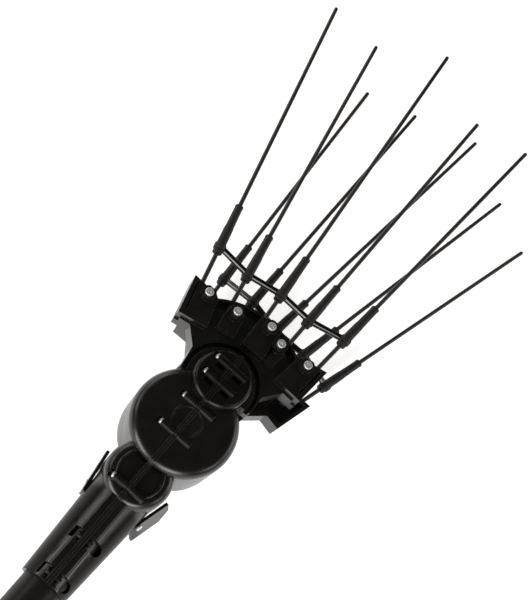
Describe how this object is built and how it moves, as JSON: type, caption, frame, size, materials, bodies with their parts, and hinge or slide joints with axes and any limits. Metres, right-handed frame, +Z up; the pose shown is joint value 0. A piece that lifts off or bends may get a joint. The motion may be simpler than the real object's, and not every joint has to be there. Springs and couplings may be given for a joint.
{
  "type": "electric olive harvester",
  "caption": "Pole-mounted electric olive harvester head with fanned tine combs, one above the other, that beat against each other on a shared pivot.",
  "frame": {"origin": "centre of the pole's open rear end", "axes": "+X along the pole towards the tines, +Y to the left, +Z up through the comb pivot"},
  "size_m": [0.8083, 0.3552, 0.1058],
  "materials": {
    "shell_plastic": "satin",
    "comb_plastic": "satin",
    "strip_plastic": "gloss",
    "tine_rod": "satin",
    "soft_rubber": "matt",
    "pole_tube": "satin",
    "zinc_screws": "bright",
    "dark_screws": "black oxide",
    "steel": "ground",
    "bronze": "sintered",
    "cast_aluminium": "cast",
    "windings": "lacquered",
    "magnet": "plated"
  },
  "bodies": {
    "housing": {"left_shell": "shell_plastic", "right_shell": "shell_plastic", "shell_screws": "zinc_screws", "left_hook": "shell_plastic", "right_hook": "shell_plastic", "hook_screws": "zinc_screws", "clamp_bolts": "dark_screws", "clamp_nuts": "dark_screws", "pole": "pole_tube", "cable_grommet": "soft_rubber", "pivot_shaft": "steel", "thrust_washers": "bronze", "crank_bearings": "steel", "motor_mount": "cast_aluminium", "motor_stator": "windings", "motor_screws": "zinc_screws"},
    "upper_comb": {"upper_comb": "comb_plastic", "upper_bush": "bronze", "upper_drive_pin": "steel", "upper_tie_strip": "strip_plastic", "upper_comb_screws": "zinc_screws", "upper_comb_nuts": "zinc_screws", "upper_tine_1": "tine_rod", "upper_tine_2": "tine_rod", "upper_tine_3": "tine_rod", "upper_tine_4": "tine_rod", "upper_tine_5": "tine_rod", "upper_sleeve_1": "soft_rubber", "upper_sleeve_2": "soft_rubber", "upper_sleeve_3": "soft_rubber", "upper_sleeve_4": "soft_rubber", "upper_sleeve_5": "soft_rubber"},
    "lower_comb": {"lower_comb": "comb_plastic", "lower_bush": "bronze", "lower_drive_pin": "steel", "lower_tie_strip": "strip_plastic", "lower_comb_screws": "zinc_screws", "lower_comb_nuts": "zinc_screws", "lower_tine_1": "tine_rod", "lower_tine_2": "tine_rod", "lower_tine_3": "tine_rod", "lower_tine_4": "tine_rod", "lower_tine_5": "tine_rod", "lower_sleeve_1": "soft_rubber", "lower_sleeve_2": "soft_rubber", "lower_sleeve_3": "soft_rubber", "lower_sleeve_4": "soft_rubber", "lower_sleeve_5": "soft_rubber"},
    "crank": {"crankshaft": "steel", "drive_gear": "steel"},
    "upper_rod": {"upper_con_rod": "cast_aluminium"},
    "lower_rod": {"lower_con_rod": "cast_aluminium"},
    "rotor": {"motor_bell": "cast_aluminium", "motor_magnets": "magnet", "motor_shaft": "steel", "motor_pinion": "steel"}
  },
  "joints": [
    {"name": "upper_comb_swing", "type": "hinge", "parent": "housing", "child": "upper_comb", "pos_m": [0.317, 0, 0], "axis": [0, 0, 1], "range_deg": [-12, 1]},
    {"name": "lower_comb_swing", "type": "hinge", "parent": "housing", "child": "lower_comb", "pos_m": [0.317, 0, 0], "axis": [0, 0, 1], "range_deg": [-1, 12]},
    {"name": "crank_spin", "type": "hinge", "parent": "housing", "child": "crank", "pos_m": [0.264, 0, 0], "axis": [0, 0, 1], "continuous": true},
    {"name": "rotor_spin", "type": "hinge", "parent": "housing", "child": "rotor", "pos_m": [0.2145, 0, 0], "axis": [0, 0, 1], "continuous": true},
    {"name": "upper_rod_turn", "type": "hinge", "parent": "crank", "child": "upper_rod", "pos_m": [0.26152, 0.00033, 0], "axis": [0, 0, 1], "continuous": true},
    {"name": "lower_rod_turn", "type": "hinge", "parent": "crank", "child": "lower_rod", "pos_m": [0.26263, 0.00209, 0], "axis": [0, 0, 1], "continuous": true}
  ],
  "couplings": [
    {"joint": "lower_comb_swing", "follows": "upper_comb_swing", "ratio": -1},
    {"joint": "rotor_spin", "follows": "crank_spin", "ratio": -4.5},
    {"joint": "upper_rod_turn", "follows": "crank_spin", "ratio": -1},
    {"joint": "lower_rod_turn", "follows": "crank_spin", "ratio": -1}
  ]
}
